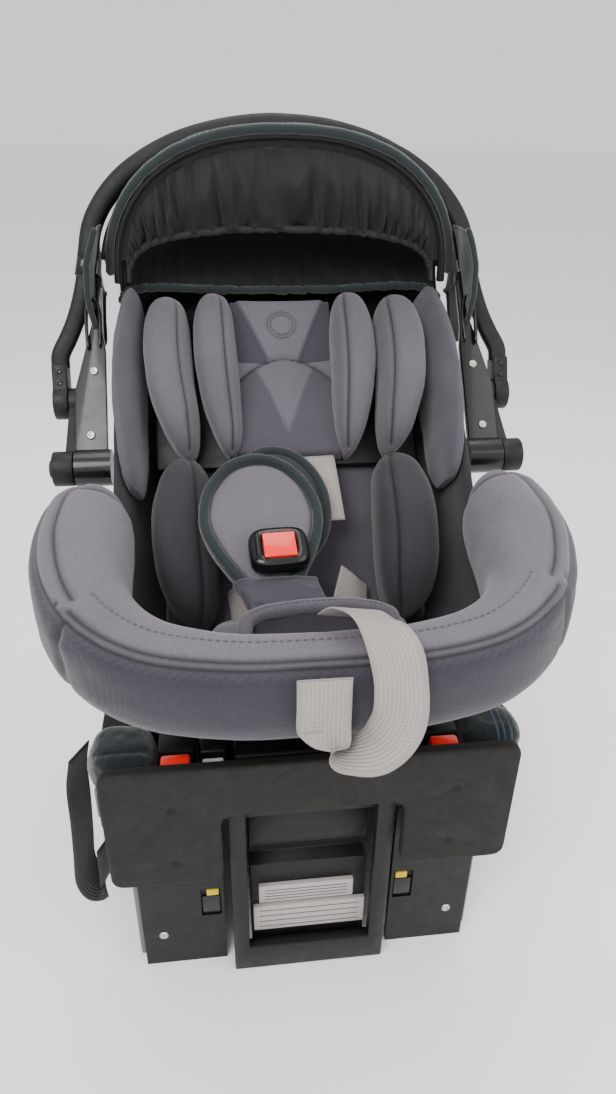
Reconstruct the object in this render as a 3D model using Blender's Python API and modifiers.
"""Infant car seat: a padded carrier with a folding handle and canopy, docked on its car base.

Metres, +Z up. +Y points to the head end, -Y to the foot end, +X to the left of a
seated baby. The origin is on the floor, under the middle of the base's nose.
Base pieces are placed in a frame whose y = 0 is the front plane of the press panel,
carrier pieces in one at the dock axis, at the height of the shell's underside.
"""

import math

import bmesh
import bpy
from mathutils import Matrix, Vector

# ---- Driving dimensions -------------------------------------------------------

GAP = 0.0006                 # between pieces that touch
RUNNING = 0.0012             # between pieces that move past each other

# Car base
DECK_HALF_WIDTH = 0.192
DECK_TOP = 0.275
DECK_THICKNESS = 0.068
DECK_WALL = 0.006
SHELF_TOP = 0.252            # front shelf of the deck, where the connectors lie
SHELF_DEPTH = 0.058
BASE_LENGTH = 0.400
HOUSING_HALF_WIDTH = 0.168
HOUSING_WALL = 0.007
SIDE_COVER_THICKNESS = 0.006
BELT_PATH_LENGTH = 0.060
BELT_PATH_HEIGHT = 0.040

# Tension frame and its press panel
PANEL_HALF_WIDTH = 0.185
PANEL_TOP = 0.298
PANEL_HEIGHT = 0.140
PANEL_BAND = 0.058           # height of the band across the top
PANEL_PAD_INNER = 0.083
PANEL_THICKNESS = 0.012
UPRIGHT_X = 0.069
UPRIGHT_WIDTH = 0.016
UPRIGHT_DEPTH = 0.012
UPRIGHT_TOP = 0.262
CROSSBAR_HEIGHT = 0.034
CROSSBAR_BOTTOM = 0.0015
FRAME_CLEARANCE = 0.0014      # behind the tension frame

# Dock
HUB_Y = 0.190
TURNTABLE_RADIUS = 0.088
TURNTABLE_HEIGHT = 0.024
SPINDLE_RADIUS = 0.020
SPINDLE_DEPTH = 0.040
SOCKET_RIM = 0.010
SOCKET_THICKNESS = 0.014
SOCKET_POCKET = 0.006

# Knob that tightens the frame
KNOB_RADIUS = 0.042
KNOB_LENGTH = 0.034
KNOB_Z = 0.105
SHAFT_RADIUS = 0.008

# Shell
SHELL_HALF_WIDTH = 0.165
SHELL_WALL = 0.0045
SHELL_FLOOR_RADIUS = 0.096
SHELL_FOOT = 0.230           # from the dock axis to the rim at the foot end
SHELL_HEAD = 0.274

# Seat back plane
BIGHT_Y = -0.070
BIGHT_Z = 0.026
BACK_ANGLE = math.radians(46)
PAD_THICKNESS = 0.018

# Padding
WING_THICKNESS = 0.020
BOLSTER_WIDTH = 0.043
HIP_BOLSTER_WIDTH = 0.062
WING_RIM = 0.94               # width of the rim beside the wings' tops, as a share of its widest
PAD_ASIDE = 0.0265            # of the loose belly pad, to one side of the middle
PAD_ROOM = 0.045              # from the belly pad's middle to the hip bolster beside it
BUMPER_OVERHANG = 0.049
BUMPER_HEIGHT = 0.082

# Rails and handle
RAIL_GAP = 0.007             # clear space between shell and rail
RAIL_WIDTH = 0.029
RAIL_THICKNESS = 0.008
RAIL_TIP = 0.0055             # width at the canopy hinge
HUB_RADIUS = 0.017
LINK_THICKNESS = 0.019
ARM_RADIUS = 0.0075
GRIP_RADIUS = 0.009
HANDLE_RISE = 0.262
ARCH_INSET = 0.0140           # of the grip's arch from the rails' outside
ARCH_START = 0.137            # reach of that point from the upper knuckles
HANDLE_LEAN = math.radians(66)
PIN_RADIUS = 0.004
BUTTON_RADIUS = 0.008
BUTTON_TRAVEL = 0.0025

# Canopy
CANOPY_Y = 0.115
CANOPY_Z = 0.329
CANOPY_RISE = 0.143
CANOPY_BACK_REACH = 0.169
CANOPY_SHEET = 0.003
CANOPY_NEST = 0.006
BOW_RADIUS = 0.004
CANOPY_FRONT_ANGLE = 103.0
CANOPY_SPLIT_ANGLE = 52.0
CANOPY_BACK_ANGLE = 7.0

# Webbing
WEBBING_WIDTH = 0.038
WEBBING_THICKNESS = 0.002

# ---- Sizes that follow --------------------------------------------------------

HOUSING_TOP = DECK_TOP - DECK_THICKNESS
DECK_FRONT = PANEL_THICKNESS + GAP + UPRIGHT_DEPTH + FRAME_CLEARANCE
BASE_FRONT = DECK_FRONT + 0.004
NOSE_DEPTH = 0.050
FOOT_Y = BASE_FRONT + NOSE_DEPTH / 2
BASE_BACK = BASE_FRONT + BASE_LENGTH
TURNTABLE_TOP = DECK_TOP + GAP + TURNTABLE_HEIGHT
CARRIER_Z = TURNTABLE_TOP + RUNNING + SOCKET_THICKNESS - SOCKET_POCKET + GAP
WING_OUTER = SHELL_HALF_WIDTH * WING_RIM + 0.0004    # inside the wall of the shell, where it narrows
WING_INNER = WING_OUTER - WING_THICKNESS
HIP_OUTER = WING_INNER - 0.002
HIP_INNER = HIP_OUTER - HIP_BOLSTER_WIDTH
OUTER_BOLSTER_OUTER = WING_INNER - RUNNING
INNER_BOLSTER_OUTER = OUTER_BOLSTER_OUTER - BOLSTER_WIDTH - RUNNING
HEAD_PANEL_HALF = INNER_BOLSTER_OUTER - BOLSTER_WIDTH - RUNNING
RAIL_INNER = SHELL_HALF_WIDTH + RAIL_GAP
RAIL_OUTER = RAIL_INNER + RAIL_WIDTH
LINK_INNER = RAIL_OUTER + RUNNING
LINK_OUTER = LINK_INNER + LINK_THICKNESS
CANOPY_HALF_WIDTH = RAIL_INNER + 0.001
LOWER_KNUCKLE = (0.005, 0.184)   # y, z from the dock axis and shell underside
UPPER_KNUCKLE = (0.072, 0.225)

BODY_NAME = "infant_car_seat"
X, Y, Z = Vector((1, 0, 0)), Vector((0, 1, 0)), Vector((0, 0, 1))

# Rim of the shell from foot to head: reach along the length, width factor, height
RIM = [
    (-1.00, 0.00, 0.068), (-0.98, 0.40, 0.068), (-0.91, 0.74, 0.071), (-0.76, 0.97, 0.078),
    (-0.565, 1.05, 0.092), (-0.37, 1.05, 0.110), (-0.22, 1.02, 0.135), (-0.04, 1.00, 0.190),
    (0.15, 1.00, 0.234), (0.33, 1.00, 0.261), (0.51, 0.985, 0.289), (0.69, 0.94, 0.315),
    (0.86, 0.80, 0.334), (0.965, 0.50, 0.344), (1.00, 0.00, 0.346),
]


# ---- Scene and materials ------------------------------------------------------

def clear_scene():
    for obj in list(bpy.data.objects):
        bpy.data.objects.remove(obj, do_unlink=True)


def new_collection(name):
    collection = bpy.data.collections.new(name)
    bpy.context.scene.collection.children.link(collection)
    return collection


def new_empty(name, location):
    empty = bpy.data.objects.new(name, None)
    PARTS.objects.link(empty)
    empty.location = location
    return empty


def linear(value):
    return value / 12.92 if value <= 0.04045 else ((value + 0.055) / 1.055) ** 2.4


def make_material(name, hex_colour, roughness, metallic=0.0):
    material = bpy.data.materials.new(name)
    material.use_nodes = True
    shader = material.node_tree.nodes["Principled BSDF"]
    channels = [linear(int(hex_colour[i:i + 2], 16) / 255) for i in (0, 2, 4)]
    shader.inputs["Base Color"].default_value = (*channels, 1.0)
    shader.inputs["Roughness"].default_value = roughness
    shader.inputs["Metallic"].default_value = metallic
    return material


def make_materials():
    return {
        "base_plastic": make_material("base_plastic", "26272a", 0.55),
        "gloss_plastic": make_material("gloss_plastic", "1c1e1e", 0.22),
        "panel_rubber": make_material("panel_rubber", "3b3933", 0.85),
        "side_plastic": make_material("side_plastic", "8d8993", 0.5),
        "red_button": make_material("red_button", "e8281e", 0.35),
        "steel": make_material("steel", "9a9c9e", 0.35, 1.0),
        "seat_fabric": make_material("seat_fabric", "8f8990", 0.9),
        "dark_fabric": make_material("dark_fabric", "55555a", 0.92),
        "canopy_fabric": make_material("canopy_fabric", "1f2221", 0.95),
        "webbing": make_material("webbing", "b5aaa5", 0.7),
        "felt": make_material("felt", "2c3538", 0.95),
    }


# ---- Shape helpers ------------------------------------------------------------

def add_object(name, data, material):
    obj = bpy.data.objects.new(name, data)
    PARTS.objects.link(obj)
    obj.parent = FRAME
    obj.data.materials.append(MATERIALS[material])
    return obj


def mesh_from(name, bm):
    bmesh.ops.recalc_face_normals(bm, faces=bm.faces)
    mesh = bpy.data.meshes.new(name)
    bm.to_mesh(mesh)
    bm.free()
    return mesh


def bevelled(obj, width, segments=2):
    if width > 0:
        bevel = obj.modifiers.new("edges", "BEVEL")
        bevel.width = width
        bevel.segments = segments
        bevel.limit_method = "ANGLE"
        bevel.angle_limit = math.radians(40)
    return obj


def block(name, low, high, material, bevel=0.002, segments=2):
    """A rounded box between two corners."""
    low, high = Vector(low), Vector(high)
    bm = bmesh.new()
    bmesh.ops.create_cube(bm, size=1.0)
    bmesh.ops.scale(bm, vec=high - low, verts=bm.verts)
    obj = add_object(name, mesh_from(name, bm), material)
    obj.location = (low + high) / 2
    return bevelled(obj, bevel, segments)


def drum(name, radius, start, end, material, sides=28, bevel=0.0, end_radius=None):
    """A cylinder or cone between two points."""
    start, end = Vector(start), Vector(end)
    bm = bmesh.new()
    bmesh.ops.create_cone(
        bm, cap_ends=True, segments=sides, radius1=radius,
        radius2=radius if end_radius is None else end_radius, depth=(end - start).length,
    )
    obj = add_object(name, mesh_from(name, bm), material)
    obj.location = (start + end) / 2
    obj.rotation_euler = Z.rotation_difference(end - start).to_euler()
    obj.data.shade_smooth()
    obj.data.set_sharp_from_angle(angle=math.radians(35))
    return bevelled(obj, bevel)


def basis(origin, u, v):
    """Matrix whose axes are u, v and their normal."""
    n = u.cross(v)
    matrix = Matrix((u, v, n)).transposed().to_4x4()
    matrix.translation = origin
    return matrix


def plate(name, outline, thickness, matrix, material, bevel=0.001, segments=2):
    """A flat outline, given a thickness about its plane."""
    curve = bpy.data.curves.new(name, "CURVE")
    curve.dimensions = "2D"
    curve.fill_mode = "BOTH"
    curve.extrude = thickness / 2
    spline = curve.splines.new("POLY")
    spline.points.add(len(outline) - 1)
    for point, (a, b) in zip(spline.points, outline):
        point.co = (a, b, 0.0, 1.0)
    spline.use_cyclic_u = True
    guide = bpy.data.objects.new(name + "_outline", curve)
    PARTS.objects.link(guide)
    depsgraph = bpy.context.evaluated_depsgraph_get()
    mesh = bpy.data.meshes.new_from_object(guide.evaluated_get(depsgraph))
    bpy.data.objects.remove(guide, do_unlink=True)
    bm = bmesh.new()
    bm.from_mesh(mesh)
    bmesh.ops.remove_doubles(bm, verts=bm.verts, dist=0.00001)
    mesh.materials.clear()
    obj = add_object(name, mesh_from(name, bm), material)
    obj.matrix_basis = matrix
    return bevelled(obj, bevel, segments)


def side_plate(name, outline, x_low, x_high, material, bevel=0.001, segments=2):
    """A plate whose outline is given as (y, z) and which runs along X."""
    middle = Vector(((x_low + x_high) / 2, 0, 0))
    return plate(name, outline, x_high - x_low, basis(middle, Y, Z), material, bevel, segments)


def tube(name, points, radius, material, resolution=2):
    curve = bpy.data.curves.new(name, "CURVE")
    curve.dimensions = "3D"
    curve.bevel_depth = radius
    curve.bevel_resolution = resolution
    curve.use_fill_caps = True
    spline = curve.splines.new("POLY")
    spline.points.add(len(points) - 1)
    for point, place in zip(spline.points, points):
        point.co = (*place, 1.0)
    return add_object(name, curve, material)


def loft(name, rings, material):
    """A closed skin through rings of the same number of points."""
    bm = bmesh.new()
    rows = [[bm.verts.new(p) for p in ring] for ring in rings]
    count = len(rows[0])
    for lower, upper in zip(rows, rows[1:]):
        for i in range(count):
            j = (i + 1) % count
            bm.faces.new((lower[i], lower[j], upper[j], upper[i]))
    bm.faces.new(rows[0])
    bm.faces.new(rows[-1])
    obj = add_object(name, mesh_from(name, bm), material)
    obj.data.shade_smooth()
    return obj


def sheet(name, rows, thickness, material):
    """An open grid of points made a shell of even thickness, inwards of the grid."""
    bm = bmesh.new()
    grid = [[bm.verts.new(p) for p in row] for row in rows]
    for lower, upper in zip(grid, grid[1:]):
        for i in range(len(lower) - 1):
            bm.faces.new((lower[i], lower[i + 1], upper[i + 1], upper[i]))
    obj = add_object(name, mesh_from(name, bm), material)
    solidify = obj.modifiers.new("wall", "SOLIDIFY")
    solidify.thickness = thickness
    solidify.offset = -1.0
    solidify.use_even_offset = True
    obj.data.shade_smooth()
    return obj


def ribbon(name, route, width, thickness, across, material):
    """A flat strap along a route; `across` gives the width's direction at each point."""
    points = [Vector(p) for p in route]
    rings = []
    for i, point in enumerate(points):
        along = (points[min(i + 1, len(points) - 1)] - points[max(i - 1, 0)]).normalized()
        side = Vector(across[i] if isinstance(across[0], (tuple, list)) else across)
        side = (side - along * side.dot(along)).normalized() * width / 2
        up = along.cross(side).normalized() * thickness / 2
        rings.append([point - side - up, point + side - up, point + side + up, point - side + up])
    return loft(name, rings, material)


def smooth(stations, steps):
    """Catmull-Rom through rows of numbers, `steps` pieces to each span."""
    rows = [Vector(s) for s in stations]
    out = []
    for i in range(len(rows) - 1):
        before = rows[i - 1] if i else rows[0] * 2 - rows[1]
        after = rows[i + 2] if i + 2 < len(rows) else rows[-1] * 2 - rows[-2]
        for k in range(steps):
            t = k / steps
            out.append(0.5 * (
                2 * rows[i] + (rows[i + 1] - before) * t
                + (2 * before - 5 * rows[i] + 4 * rows[i + 1] - after) * t ** 2
                + (3 * rows[i] - before - 3 * rows[i + 1] + after) * t ** 3
            ))
    return out + [rows[-1]]


def helper(obj):
    """Keeps a boolean operand out of the model."""
    PARTS.objects.unlink(obj)
    CUTTERS.objects.link(obj)
    obj.hide_render = True
    obj.display_type = "WIRE"
    return obj


def combine(obj, operand, operation="DIFFERENCE"):
    modifier = obj.modifiers.new(operation.lower(), "BOOLEAN")
    modifier.operation = operation
    modifier.object = helper(operand)
    return obj


def bore(obj, name, radius, start, end, sides=20):
    return combine(obj, drum(name, radius, start, end, "steel", sides))


def on_carrier(*objects):
    for obj in objects:
        obj.parent = CARRIER
    return objects


def both_sides():
    return (("left", 1), ("right", -1))


def spread(inner, outer, side):
    """The two X limits of a piece on one side, lowest first."""
    return tuple(sorted((inner * side, outer * side)))


# ---- Base ---------------------------------------------------------------------

def make_housing():
    """Lower case: open underneath, with a bay in front for the tension frame."""
    outline = [
        (BASE_FRONT, 0.0), (BASE_BACK - 0.110, 0.0), (BASE_BACK, 0.036), (BASE_BACK, HOUSING_TOP * 0.62),
        (BASE_BACK - 0.035, HOUSING_TOP - GAP), (BASE_FRONT, HOUSING_TOP - GAP),
    ]
    housing = side_plate("base_housing", outline, -HOUSING_HALF_WIDTH, HOUSING_HALF_WIDTH,
                         "base_plastic", 0.0)
    belt_y = BASE_BACK - 0.045 - BELT_PATH_LENGTH - 0.02
    path = block("belt_path", (-HOUSING_HALF_WIDTH - 0.02, belt_y, HOUSING_TOP - BELT_PATH_HEIGHT),
                 (HOUSING_HALF_WIDTH + 0.02, belt_y + BELT_PATH_LENGTH, HOUSING_TOP + 0.01),
                 "base_plastic", 0.0)
    combine(housing, path)
    inside = block(
        "housing_inside",
        (-HOUSING_HALF_WIDTH + HOUSING_WALL, BASE_FRONT + HOUSING_WALL, -0.01),
        (HOUSING_HALF_WIDTH - HOUSING_WALL, BASE_BACK - 0.045, HOUSING_TOP - HOUSING_WALL),
        "base_plastic", 0.0,
    )
    combine(housing, inside)
    bay_half = UPRIGHT_X + UPRIGHT_WIDTH
    bay = block("frame_bay", (-bay_half, BASE_FRONT - 0.01, -0.01),
                (bay_half, BASE_FRONT + 0.055, HOUSING_TOP + 0.01), "base_plastic", 0.0)
    combine(housing, bay)
    for label, side in both_sides():
        low, high = spread(0.088, 0.108, side)
        window = block("leg_window_" + label, (low, BASE_FRONT - 0.01, 0.070),
                       (high, BASE_FRONT + HOUSING_WALL * 0.6, 0.110), "base_plastic", 0.0)
        combine(housing, window)
    bore(housing, "shaft_hole", SHAFT_RADIUS + RUNNING, (0, BASE_BACK - 0.06, KNOB_Z),
         (0, BASE_BACK + 0.02, KNOB_Z))
    return housing


def make_nose():
    """Stepped block between the uprights."""
    half = UPRIGHT_X - UPRIGHT_WIDTH / 2 - 0.003
    front = BASE_FRONT
    outline = [
        (DECK_FRONT, 0.0), (front + NOSE_DEPTH, 0.0), (front + NOSE_DEPTH, HOUSING_TOP - GAP),
        (front + 0.030, HOUSING_TOP - GAP), (front + 0.010, 0.186), (front + 0.006, 0.170),
        (front + 0.010, 0.154), (front + 0.022, 0.150), (front + 0.022, 0.132),
        (front + 0.008, 0.128), (front + 0.008, 0.108), (front + 0.004, 0.100),
    ]
    return side_plate("base_nose", outline, -half, half, "base_plastic", 0.001)


def make_deck():
    """Upper case with a front shelf for the connectors and the dock's spindle hole."""
    back = BASE_BACK - 0.010
    shelf_back = BASE_FRONT + SHELF_DEPTH
    front = DECK_FRONT
    outline = [
        (front, HOUSING_TOP), (back, HOUSING_TOP), (back, DECK_TOP - 0.025), (back - 0.030, DECK_TOP),
        (shelf_back, DECK_TOP), (shelf_back - 0.006, SHELF_TOP), (front, SHELF_TOP),
    ]
    deck = side_plate("base_deck", outline, -DECK_HALF_WIDTH, DECK_HALF_WIDTH, "base_plastic", 0.004)
    inside = block("deck_inside", (-DECK_HALF_WIDTH + DECK_WALL, front + DECK_WALL, HOUSING_TOP - 0.01),
                   (DECK_HALF_WIDTH - DECK_WALL, back - DECK_WALL, SHELF_TOP - DECK_WALL),
                   "base_plastic", 0.0)
    combine(deck, inside)
    bore(deck, "spindle_hole", SPINDLE_RADIUS + RUNNING, (0, HUB_Y, DECK_TOP - SPINDLE_DEPTH - RUNNING),
         (0, HUB_Y, DECK_TOP + 0.02), 28)
    return deck


def make_side_covers():
    for label, side in both_sides():
        low, high = spread(HOUSING_HALF_WIDTH + GAP, HOUSING_HALF_WIDTH + GAP + SIDE_COVER_THICKNESS, side)
        top = HOUSING_TOP - BELT_PATH_HEIGHT - 0.006
        outline = [
            (BASE_FRONT + 0.010, 0.004), (BASE_BACK - 0.116, 0.004), (BASE_BACK - 0.020, 0.036),
            (BASE_BACK - 0.020, top * 0.6),
            (BASE_BACK - 0.050, top), (BASE_FRONT + 0.016, top), (BASE_FRONT + 0.010, top - 0.02),
        ]
        side_plate("side_cover_" + label, outline, low, high, "side_plastic", 0.0015)


def make_tension_frame():
    """Foot bar, two uprights and a top bar, welded; it tips forward about its foot pins."""
    top_low = PANEL_TOP - PANEL_BAND + 0.004
    back = PANEL_THICKNESS + GAP + UPRIGHT_DEPTH
    outer = UPRIGHT_X + UPRIGHT_WIDTH / 2
    frame = block("tension_frame", (-outer, PANEL_THICKNESS + GAP, CROSSBAR_BOTTOM),
                  (outer, back, CROSSBAR_BOTTOM + CROSSBAR_HEIGHT), "base_plastic", 0.002)
    for label, side in both_sides():
        low, high = spread(UPRIGHT_X - UPRIGHT_WIDTH / 2, outer, side)
        upright = block("upright_" + label, (low, PANEL_THICKNESS + GAP, CROSSBAR_BOTTOM + 0.002),
                        (high, back, UPRIGHT_TOP), "base_plastic", 0.002)
        combine(frame, upright, "UNION")
    bar = block("top_bar", (-outer + 0.002, PANEL_THICKNESS + GAP + 0.002, top_low),
                (outer - 0.002, back - 0.002, UPRIGHT_TOP - 0.002), "base_plastic", 0.001)
    combine(frame, bar, "UNION")
    return frame


def rounded(corners, radius, steps=4):
    """A closed outline whose corners are arcs."""
    out = []
    count = len(corners)
    for i, corner in enumerate(corners):
        here = Vector(corner)
        a = (Vector(corners[i - 1]) - here).normalized()
        b = (Vector(corners[(i + 1) % count]) - here).normalized()
        for k in range(steps + 1):
            t = k / steps
            out.append(tuple(here + a * radius * (1 - t) ** 2 + b * radius * t ** 2))
    return out


def make_press_panel():
    """Rubber-faced panel in the shape of a wide, upturned U."""
    bottom = PANEL_TOP - PANEL_HEIGHT
    band = PANEL_TOP - PANEL_BAND
    corners = [
        (-PANEL_HALF_WIDTH, bottom), (-PANEL_PAD_INNER, bottom), (-PANEL_PAD_INNER, band),
        (PANEL_PAD_INNER, band), (PANEL_PAD_INNER, bottom), (PANEL_HALF_WIDTH, bottom),
        (PANEL_HALF_WIDTH, PANEL_TOP), (-PANEL_HALF_WIDTH, PANEL_TOP),
    ]
    outline = rounded(corners, 0.014, 3)
    matrix = basis(Vector((0, PANEL_THICKNESS / 2, 0)), X, Z)
    return plate("press_panel", outline, PANEL_THICKNESS, matrix, "panel_rubber", 0.002)


def make_knob():
    """Fluted tightening knob and the screw shaft that pushes the tension frame."""
    face = BASE_BACK + RUNNING
    knob = drum("tension_knob", KNOB_RADIUS, (0, face, KNOB_Z), (0, face + KNOB_LENGTH, KNOB_Z),
                "base_plastic", 32, 0.003)
    for i in range(8):
        angle = math.tau * (i + 0.5) / 8
        x = math.cos(angle) * (KNOB_RADIUS + 0.004)
        z = KNOB_Z + math.sin(angle) * (KNOB_RADIUS + 0.004)
        bore(knob, f"flute_{i}", 0.009, (x, face + 0.010, z), (x, face + KNOB_LENGTH + 0.01, z), 12)
    drum("tension_shaft", SHAFT_RADIUS, (0, BASE_FRONT + 0.060, KNOB_Z), (0, face - GAP, KNOB_Z),
         "steel", 20)


def make_turntable():
    ring = drum("dock_turntable", TURNTABLE_RADIUS, (0, HUB_Y, DECK_TOP + GAP),
                (0, HUB_Y, TURNTABLE_TOP), "gloss_plastic", 40, 0.003)
    well = drum("turntable_well", TURNTABLE_RADIUS - 0.016, (0, HUB_Y, TURNTABLE_TOP - 0.010),
                (0, HUB_Y, TURNTABLE_TOP + 0.01), "gloss_plastic", 36)
    combine(ring, well)
    spindle = drum("spindle", SPINDLE_RADIUS, (0, HUB_Y, DECK_TOP - SPINDLE_DEPTH),
                   (0, HUB_Y, DECK_TOP + 0.006), "steel", 28)
    combine(ring, spindle, "UNION")
    return ring


def make_connectors():
    """Anchor connectors stowed on the shelf, each with its red release button."""
    for label, side in both_sides():
        low, high = spread(0.104, 0.136, side)
        floor = SHELF_TOP + GAP
        block("connector_" + label, (low, BASE_FRONT + 0.004, floor),
              (high, BASE_FRONT + 0.030, floor + 0.038), "base_plastic", 0.003)
        low, high = spread(0.107, 0.133, side)
        block("connector_button_" + label, (low, PANEL_THICKNESS + UPRIGHT_DEPTH * 0.5, floor + 0.006),
              (high, BASE_FRONT + 0.004 - 0.0035, floor + 0.038), "red_button", 0.003)
        low, high = spread(0.1375, DECK_HALF_WIDTH + 0.006, side)
        block("connector_cover_" + label, (low, PANEL_THICKNESS + UPRIGHT_DEPTH * 0.5, floor),
              (high, BASE_FRONT + 0.046, floor + 0.046), "felt", 0.009)


def make_connector_strap():
    """Webbing loop that hangs beside the base, at its right."""
    x = -DECK_HALF_WIDTH - 0.016
    y = BASE_FRONT + 0.030
    route = [
        (x + 0.003, y + 0.006, 0.268), (x - 0.002, y + 0.004, 0.240), (x - 0.006, y, 0.200),
        (x - 0.012, y - 0.004, 0.160), (x - 0.016, y - 0.006, 0.125), (x - 0.010, y - 0.004, 0.100),
        (x, y + 0.002, 0.094), (x + 0.008, y + 0.006, 0.108), (x + 0.010, y + 0.008, 0.140),
    ]
    return ribbon("connector_strap", smooth(route, 2), 0.032, WEBBING_THICKNESS, (0, 1, 0.15), "felt")


# ---- Carrier shell and dock socket --------------------------------------------

def rim_stations(steps=2):
    """Right half of the rim as (x, y, z), from the foot end to the head end."""
    out = []
    for reach, factor, height in smooth(RIM, steps):
        length = SHELL_FOOT if reach < 0 else SHELL_HEAD
        out.append(Vector((max(factor, 0.0) * SHELL_HALF_WIDTH, reach * length, height)))
    return out


def make_shell():
    """Bucket: rings that shrink from the rim to the flat floor over the dock."""
    half = rim_stations()
    rim = half + [Vector((-p.x, p.y, p.z)) for p in reversed(half[1:-1])]
    levels = 6
    rings = []
    for level in range(levels + 1):
        turn = math.radians(90) * level / levels
        ring = []
        for p in rim:
            flat = Vector((p.x, p.y))
            floor = flat.normalized() * SHELL_FLOOR_RADIUS
            headward = max(flat.normalized().y, 0.0)
            footward = max(-flat.normalized().y, 0.0)
            power = 0.7 + 0.9 * headward + 0.5 * footward
            place = floor + (flat - floor) * max(math.cos(turn), 0.0) ** power
            ring.append((place.x, place.y, p.z * (1 - math.sin(turn))))
        rings.append(ring)
    bm = bmesh.new()
    rows = [[bm.verts.new(p) for p in ring] for ring in rings]
    count = len(rim)
    for upper, lower in zip(rows, rows[1:]):
        for i in range(count):
            j = (i + 1) % count
            bm.faces.new((lower[i], lower[j], upper[j], upper[i]))
    centre = bm.verts.new((0, 0, 0))
    for i in range(count):
        bm.faces.new((rows[-1][(i + 1) % count], rows[-1][i], centre))
    mesh = bpy.data.meshes.new("shell")
    bm.normal_update()
    bm.to_mesh(mesh)
    bm.free()
    shell = add_object("shell", mesh, "gloss_plastic")
    solidify = shell.modifiers.new("wall", "SOLIDIFY")
    solidify.thickness = SHELL_WALL
    solidify.offset = -1.0
    solidify.use_even_offset = True
    shell.data.shade_smooth()
    on_carrier(shell)


def make_socket():
    """Ring under the shell that drops over the turntable."""
    outer = TURNTABLE_RADIUS + SOCKET_RIM
    socket = drum("dock_socket", outer, (0, 0, -GAP - SOCKET_THICKNESS), (0, 0, -GAP),
                  "base_plastic", 40, 0.002)
    pocket = drum("socket_pocket", TURNTABLE_RADIUS + RUNNING,
                  (0, 0, -GAP - SOCKET_THICKNESS - 0.01), (0, 0, -GAP - SOCKET_THICKNESS + SOCKET_POCKET),
                  "base_plastic", 40)
    combine(socket, pocket)
    pocket.parent = CARRIER
    on_carrier(socket)
    reach = outer + 0.002
    lever = block("release_lever", (-0.035, reach, -0.018), (0.035, reach + 0.042, -0.007),
                  "red_button", 0.003)
    on_carrier(lever)


# ---- Rails, handle ------------------------------------------------------------

def yz(point, x=0.0):
    return Vector((x, point[0], point[1]))


def make_rails():
    """Glossy side plates from the handle hubs up to the canopy hinges."""
    hub = Vector(LOWER_KNUCKLE)
    top = Vector((CANOPY_Y, CANOPY_Z))
    along = (top - hub).normalized()
    length = (top - hub).length
    for label, side in both_sides():
        origin = yz(hub)
        run = Vector((0, along.x, along.y))
        inner, outer = RAIL_INNER, RAIL_OUTER
        slim = inner + 0.0025
        outline = [
            (inner, -0.004), (outer, -0.004), (outer, length * 0.40), (slim + RAIL_TIP, length * 0.86),
            (slim + RAIL_TIP, length + 0.008), (slim, length + 0.008), (slim, length * 0.72),
            (inner, length * 0.62),
        ]
        outline = [(a * side, b) for a, b in outline]
        if side < 0:
            outline.reverse()
        rail = plate("side_rail_" + label, outline, RAIL_THICKNESS, basis(origin, X, run),
                     "gloss_plastic", 0.0012)
        boss = drum("hub_boss_" + label, HUB_RADIUS, yz(hub, (SHELL_HALF_WIDTH + 0.0035) * side),
                    yz(hub, RAIL_OUTER * side), "gloss_plastic", 24)
        combine(rail, boss, "UNION")
        boss.parent = CARRIER
        hole = drum("hub_bore_" + label, PIN_RADIUS + 0.0005, yz(hub, (RAIL_INNER - 0.001) * side),
                    yz(hub, (RAIL_OUTER + 0.01) * side), "steel", 20)
        combine(rail, hole)
        hole.parent = CARRIER
        pin = drum("hub_pin_" + label, PIN_RADIUS, yz(hub, RAIL_INNER * side),
                   yz(hub, (LINK_OUTER - 0.009) * side), "steel", 16)
        stub = drum("canopy_stub_" + label, 0.005, yz(top, (CANOPY_HALF_WIDTH + GAP) * side),
                    yz(top, (slim + 0.004) * side), "gloss_plastic", 16)
        combine(rail, stub, "UNION")
        stub.parent = CARRIER
        on_carrier(rail, pin)


def make_links():
    """Short double-knuckle links between the hubs and the handle."""
    low, high = Vector(LOWER_KNUCKLE), Vector(UPPER_KNUCKLE)
    thin = LINK_THICKNESS * 0.42
    for label, side in both_sides():
        link = drum("handle_link_" + label, HUB_RADIUS - 0.001, yz(low, LINK_INNER * side),
                    yz(low, LINK_OUTER * side), "base_plastic", 28, 0.0012)
        ear = drum("link_ear_" + label, HUB_RADIUS - 0.003, yz(high, LINK_INNER * side),
                   yz(high, (LINK_INNER + thin) * side), "base_plastic", 24)
        combine(link, ear, "UNION")
        ear.parent = CARRIER
        along = (high - low).normalized()
        across = Vector((-along.y, along.x))
        a, b = 0.009, 0.007
        outline = [low - across * a, high - across * b, high + across * b, low + across * a]
        xs = spread(LINK_INNER, LINK_INNER + thin, side)
        neck = side_plate("link_neck_" + label, [tuple(p) for p in outline], *xs, "base_plastic", 0.0)
        combine(link, neck, "UNION")
        neck.parent = CARRIER
        hole = drum("link_bore_" + label, PIN_RADIUS + 0.0006, yz(low, (LINK_INNER - 0.01) * side),
                    yz(low, (LINK_OUTER - 0.0085) * side), "steel", 20)
        combine(link, hole)
        hole.parent = CARRIER
        recess = drum("button_recess_" + label, BUTTON_RADIUS + 0.0006, yz(low, (LINK_OUTER - 0.0055) * side),
                      yz(low, (LINK_OUTER + 0.01) * side), "steel", 24)
        combine(link, recess)
        recess.parent = CARRIER
        button = drum("handle_button_" + label, BUTTON_RADIUS,
                      yz(low, (LINK_OUTER - 0.0055 + BUTTON_TRAVEL + 0.0006) * side),
                      yz(low, (LINK_OUTER + 0.0032) * side), "base_plastic", 24, 0.0008)
        on_carrier(link, button)


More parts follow.
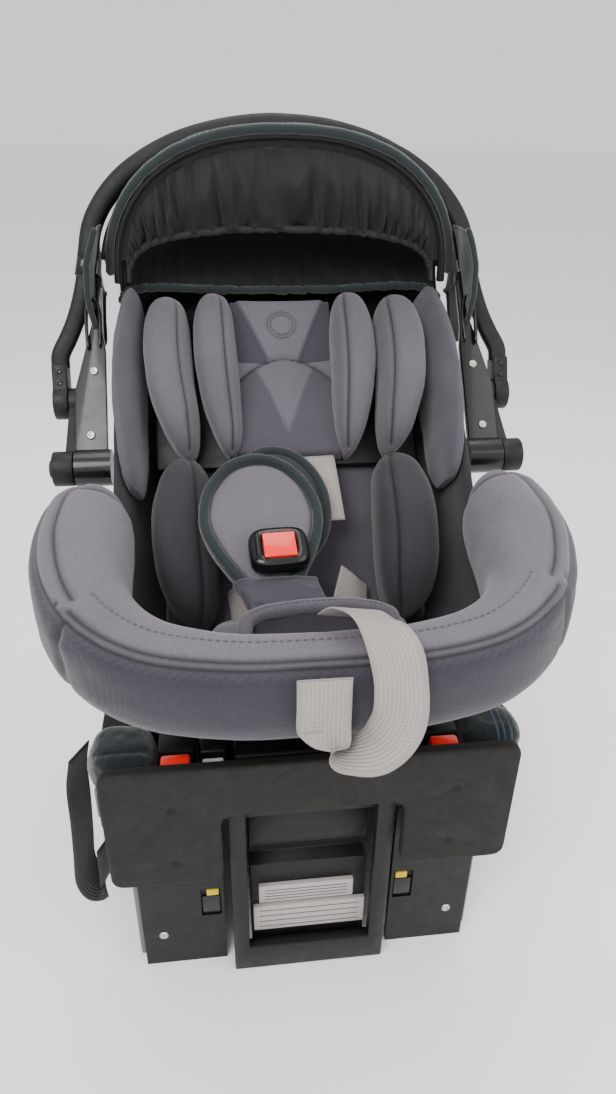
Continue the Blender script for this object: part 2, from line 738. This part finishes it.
def bail_point(reach, x):
    """A point of the handle's plane, `reach` up from the upper knuckles."""
    y, z = UPPER_KNUCKLE
    return Vector((x, y + reach * math.cos(HANDLE_LEAN), z + reach * math.sin(HANDLE_LEAN)))


def make_bail():
    """Knuckle blocks, slim arms and the padded grip arch."""
    thin = LINK_THICKNESS * 0.42
    block_inner = LINK_INNER + thin + RUNNING * 0.5
    block_outer = LINK_OUTER + 0.004
    grip_half, shoulder = RAIL_OUTER - ARCH_INSET, ARCH_START
    for label, side in both_sides():
        middle = (block_inner + block_outer) / 2 * side
        knuckle = drum("knuckle_" + label, HUB_RADIUS - 0.001, yz(UPPER_KNUCKLE, block_inner * side),
                       yz(UPPER_KNUCKLE, block_outer * side), "base_plastic", 28, 0.0015)
        run = Vector((0, math.cos(HANDLE_LEAN), math.sin(HANDLE_LEAN)))
        half = (block_outer - block_inner) / 2
        neck = plate("knuckle_neck_" + label, [(-half, 0.0), (half, 0.0), (half, 0.036), (-half, 0.036)],
                     0.022, basis(yz(UPPER_KNUCKLE, middle), X, run), "base_plastic", 0.002)
        combine(knuckle, neck, "UNION")
        neck.parent = CARRIER
        route = [
            (0.0385, middle * side), (0.048, middle * side - 0.0012), (0.062, grip_half + 0.0225),
            (0.080, grip_half + 0.0145), (0.104, grip_half + 0.0072), (shoulder - 0.0035, grip_half + 0.0005),
        ]
        arm = tube("handle_arm_" + label, [bail_point(r, x * side) for r, x in smooth(route, 3)],
                   ARM_RADIUS, "base_plastic")
        on_carrier(knuckle, arm)
    arch = []
    steps = 28
    for i in range(steps + 1):
        turn = math.pi * i / steps
        arch.append(bail_point(shoulder + (HANDLE_RISE - shoulder) * math.sin(turn),
                               grip_half * math.cos(turn)))
    grip = tube("handle_grip", arch, GRIP_RADIUS, "canopy_fabric")
    on_carrier(grip)


# ---- Canopy -------------------------------------------------------------------

def canopy_reach(angle):
    """Radius of the canopy's ridge about the hinge axis, longer towards the head end."""
    share = min(max((62.0 - angle) / 50.0, 0.0), 1.0)
    return CANOPY_RISE + (CANOPY_BACK_REACH - CANOPY_RISE) * share ** 1.5


def canopy_point(angle, turn, inset):
    """A point of the canopy: `angle` about the hinge axis, `turn` along the arch."""
    reach = (canopy_reach(angle) - inset) * max(math.sin(turn), 0.0) ** 0.85
    x = (CANOPY_HALF_WIDTH - inset) * math.copysign(abs(math.cos(turn)) ** 0.85, math.cos(turn))
    a = math.radians(angle)
    return Vector((x, CANOPY_Y + reach * math.cos(a), CANOPY_Z + reach * math.sin(a)))


def canopy_sheet(name, first, last, inset, steps, across=18):
    start = math.radians(9)
    turns = [start + (math.pi - 2 * start) * i / across for i in range(across + 1)]
    rows = [
        [canopy_point(first + (last - first) * k / steps, turn, inset) for turn in turns]
        for k in range(steps + 1)
    ]
    cloth = sheet(name, rows, CANOPY_SHEET, "canopy_fabric")
    on_carrier(cloth)


def canopy_bow(name, angle, inset):
    steps = 24
    points = [canopy_point(angle, math.pi * i / steps, inset) for i in range(steps + 1)]
    on_carrier(tube(name, points, BOW_RADIUS, "base_plastic", 2))


def make_canopy():
    canopy_sheet("canopy_rear", CANOPY_BACK_ANGLE, CANOPY_SPLIT_ANGLE, 0.0, 5)
    canopy_sheet("canopy_front", CANOPY_SPLIT_ANGLE + 4, CANOPY_FRONT_ANGLE - 3, CANOPY_NEST, 6)
    inside = CANOPY_NEST + CANOPY_SHEET + BOW_RADIUS + 0.0015
    canopy_bow("canopy_front_bow", CANOPY_FRONT_ANGLE - 5, inside)
    canopy_bow("canopy_middle_bow", 77.0, inside + 2 * BOW_RADIUS + 0.0015)


# ---- Seat ---------------------------------------------------------------------

def seat_block(name, x_limits, along, lift, material, bevel=0.008, segments=2):
    """A cushion given in the seat back's plane: X limits, distance up the back, lift off it."""
    run = Vector((0, math.cos(BACK_ANGLE), math.sin(BACK_ANGLE)))
    off = X.cross(run)
    bight = Vector((0, BIGHT_Y, BIGHT_Z))
    low = Vector((x_limits[0], along[0], lift[0]))
    high = Vector((x_limits[1], along[1], lift[1]))
    bm = bmesh.new()
    bmesh.ops.create_cube(bm, size=1.0)
    bmesh.ops.scale(bm, vec=high - low, verts=bm.verts)
    obj = add_object(name, mesh_from(name, bm), material)
    middle = (low + high) / 2
    obj.matrix_basis = basis(bight + X * middle.x + run * middle.y + off * middle.z, X, run)
    bevelled(obj, bevel, segments)
    return on_carrier(obj)[0]


def make_seat():
    back_half = WING_INNER * 0.97
    seat_block("seat_back_pad", (-back_half, back_half), (0.016, 0.385), (-PAD_THICKNESS, 0.0),
               "seat_fabric", 0.006)
    bottom = [
        (BIGHT_Y + 0.004, BIGHT_Z - 0.004), (-0.115, 0.040), (-0.165, 0.066), (-0.188, 0.080),
        (-0.184, 0.096), (-0.158, 0.084), (-0.112, 0.058), (BIGHT_Y + 0.006, BIGHT_Z + 0.013),
    ]
    on_carrier(side_plate("seat_bottom_pad", bottom, -back_half * 0.76, back_half * 0.76,
                          "seat_fabric", 0.003))
    for label, side in both_sides():
        seat_block("head_wing_" + label, spread(WING_INNER, WING_OUTER, side), (0.150, 0.335),
                   (0.006, 0.080), "seat_fabric", 0.007)
        seat_block("hip_bolster_" + label, spread(HIP_INNER, HIP_OUTER, side),
                   (0.020, 0.176), (RUNNING, 0.070), "dark_fabric", 0.012)


def make_headrest():
    """Board and pads that slide up the seat back together."""
    low, high = 0.182, 0.368
    board_half = OUTER_BOLSTER_OUTER - 0.002
    lift = RUNNING
    seat_block("headrest_board", (-board_half, board_half), (low - 0.004, high + 0.004),
               (lift, lift + 0.012), "base_plastic", 0.003, 2)
    lift += 0.012 + GAP
    seat_block("headrest_panel", (-HEAD_PANEL_HALF, HEAD_PANEL_HALF), (low, high),
               (lift, lift + 0.022), "seat_fabric", 0.006)
    for label, side in both_sides():
        inner = INNER_BOLSTER_OUTER
        seat_block("inner_bolster_" + label, spread(inner - BOLSTER_WIDTH, inner, side),
                   (low + 0.004, high - 0.024), (lift, 0.072), "seat_fabric", 0.012)
        outer = OUTER_BOLSTER_OUTER
        seat_block("outer_bolster_" + label, spread(outer - BOLSTER_WIDTH, outer, side),
                   (low + 0.002, high - 0.036), (lift, 0.092), "seat_fabric", 0.012)


def make_bumper():
    """Padded guard round the foot end, standing on the shell's rim."""
    stations = []
    profile = [
        (0.034, -0.016), (0.036, -0.016), (0.040, -0.018), (0.044, -0.024),
        (BUMPER_OVERHANG, -0.028), (BUMPER_OVERHANG, -0.028), (0.042, -0.022),
    ]
    tops = [BUMPER_HEIGHT + rise for rise in (0.0, 0.0, 0.001, 0.005, 0.010, 0.000, -0.022)]
    rim = [rim_stations(1)[i] for i in range(len(profile))]
    for i, (p, (out, into), height) in enumerate(zip(rim, profile, tops)):
        before = rim[i - 1] if i else Vector((-rim[1].x, rim[1].y, rim[1].z))
        after = rim[min(i + 1, len(rim) - 1)]
        run = (after - before).xy.normalized()
        stations.append((*p, run.y, -run.x, out, into, height))
    half = smooth(stations, 2)
    rings = []
    mirrored = [(s, -1) for s in reversed(half[1:])] + [(s, 1) for s in half]
    for s, side in mirrored:
        rim_point, facing = Vector(s[0:3]), Vector((s[3], s[4], 0)).normalized()
        out, into, height = s[5], s[6], s[7]
        middle = rim_point + facing * (out + into) / 2 + Z * (height / 2 + 0.0015)
        ring = []
        for k in range(14):
            turn = math.tau * k / 14
            a = math.copysign(abs(math.cos(turn)) ** 0.62, math.cos(turn)) * (out - into) / 2
            b = math.copysign(abs(math.sin(turn)) ** 0.62, math.sin(turn)) * height / 2
            p = middle + facing * a + Z * b
            ring.append(Vector((p.x * side, p.y, p.z)))
        rings.append(ring)
    on_carrier(loft("bumper_cover", rings, "seat_fabric"))


def make_front_flap():
    on_carrier(block("front_flap", (-0.060, -0.2090, 0.112), (0.060, -0.176, 0.142),
                     "seat_fabric", 0.006))
    on_carrier(block("adjuster_housing", (-0.026, -0.2115, 0.088), (0.026, -0.190, 0.1114),
                     "base_plastic", 0.002))


def make_adjuster_strap():
    """Pull strap: out under the flap, over the roll and back up the front as a loop."""
    route = [
        (0.012, -0.208, 0.1485), (0.022, -0.224, 0.164), (0.035, -0.247, 0.168), (0.047, -0.264, 0.156),
        (0.054, -0.273, 0.134), (0.052, -0.281, 0.108), (0.036, -0.285, 0.090), (0.014, -0.282, 0.080),
        (-0.003, -0.276, 0.083), (-0.007, -0.273, 0.098), (-0.007, -0.272, 0.120), (-0.007, -0.271, 0.142),
    ]
    sides = [
        (1, 0, -0.05), (1, 0, -0.15), (1, -0.1, -0.35), (1, -0.1, -0.3), (1, 0, -0.1),
        (1, -0.1, 0.25), (1, -0.3, 0.6), (0.8, -0.7, 0.5), (1, -0.5, 0.2), (1, 0, 0), (1, 0, 0), (1, 0, 0),
    ]
    across = [tuple(v) for v in smooth(sides, 2)]
    on_carrier(ribbon("adjuster_strap", smooth(route, 2), WEBBING_WIDTH, WEBBING_THICKNESS,
                      across, "webbing"))


def pad_frame():
    """Plane of the belly pad, which lies loose on the crotch strap, a little to one side."""
    tilt = math.radians(29)
    run = Vector((0, math.cos(tilt), math.sin(tilt)))
    across = Vector((math.cos(math.radians(4)), math.sin(math.radians(4)) * math.cos(tilt), 0)).normalized()
    run = (run - across * run.dot(across)).normalized()
    aside = min(PAD_ASIDE, HIP_INNER - PAD_ROOM)
    return Vector((-aside, -0.056, 0.156)), across, run


def make_belly_pad():
    origin, across, run = pad_frame()
    off = across.cross(run)
    outline = [
        (0.052 * math.cos(math.tau * i / 20) * (1.0 - 0.10 * math.sin(math.tau * i / 20)),
         0.068 * math.sin(math.tau * i / 20))
        for i in range(20)
    ]
    pad = plate("belly_pad", outline, 0.020, basis(origin, across, run), "seat_fabric", 0.006)
    start = origin - run * 0.046 + off * 0.0106
    housing = block("buckle_housing", (-0.026, -0.020, 0.0), (0.026, 0.020, 0.016), "base_plastic", 0.004)
    housing.matrix_basis = basis(start + off * 0.008, across, run)
    recess = block("button_well", (-0.0146, -0.0126, -0.004), (0.0146, 0.0126, 0.012), "base_plastic", 0.0)
    recess.matrix_basis = basis(start + off * 0.016, across, run)
    combine(housing, recess)
    recess.parent = CARRIER
    button = block("buckle_button", (-0.0138, -0.0118, -0.003), (0.0138, 0.0118, 0.003), "red_button", 0.001)
    button.matrix_basis = basis(start + off * 0.0152, across, run)
    sleeve_low = Vector((-0.014, -0.160, 0.110))
    sleeve_high = origin - run * 0.074 - off * 0.003
    sleeve = ribbon("buckle_sleeve", [sleeve_low, (sleeve_low + sleeve_high) / 2 - Y * 0.006, sleeve_high],
                    0.070, 0.018, (1, 0, 0), "dark_fabric")
    on_carrier(pad, housing, button, sleeve)


def make_harness():
    run = Vector((0, math.cos(BACK_ANGLE), math.sin(BACK_ANGLE)))
    off = X.cross(run)
    bight = Vector((0, BIGHT_Y, BIGHT_Z))
    reach = HEAD_PANEL_HALF - 0.004
    for label, side in both_sides():
        route = [
            bight + X * side * reach * 0.62 + run * 0.174 + off * 0.024,
            bight + X * side * reach * 0.66 + run * 0.140 + off * 0.034,
            bight + X * side * reach * 0.70 + run * 0.110 + off * 0.040,
        ]
        on_carrier(ribbon("shoulder_strap_" + label, route, min(WEBBING_WIDTH, reach), WEBBING_THICKNESS,
                          (1, 0, 0), "webbing"))


# ---- Build --------------------------------------------------------------------

clear_scene()
PARTS = new_collection(BODY_NAME)
CUTTERS = new_collection("cutters")
MATERIALS = make_materials()
FRAME = new_empty("base_frame", (0, -FOOT_Y, 0))
CARRIER = new_empty("carrier_frame", (0, HUB_Y, CARRIER_Z))
CARRIER.parent = FRAME

make_housing()
make_nose()
make_deck()
make_side_covers()
make_tension_frame()
make_press_panel()
make_knob()
make_turntable()
make_connectors()
make_connector_strap()
make_shell()
make_socket()
make_rails()
make_links()
make_bail()
make_canopy()
make_seat()
make_headrest()
make_bumper()
make_front_flap()
make_adjuster_strap()
make_belly_pad()
make_harness()
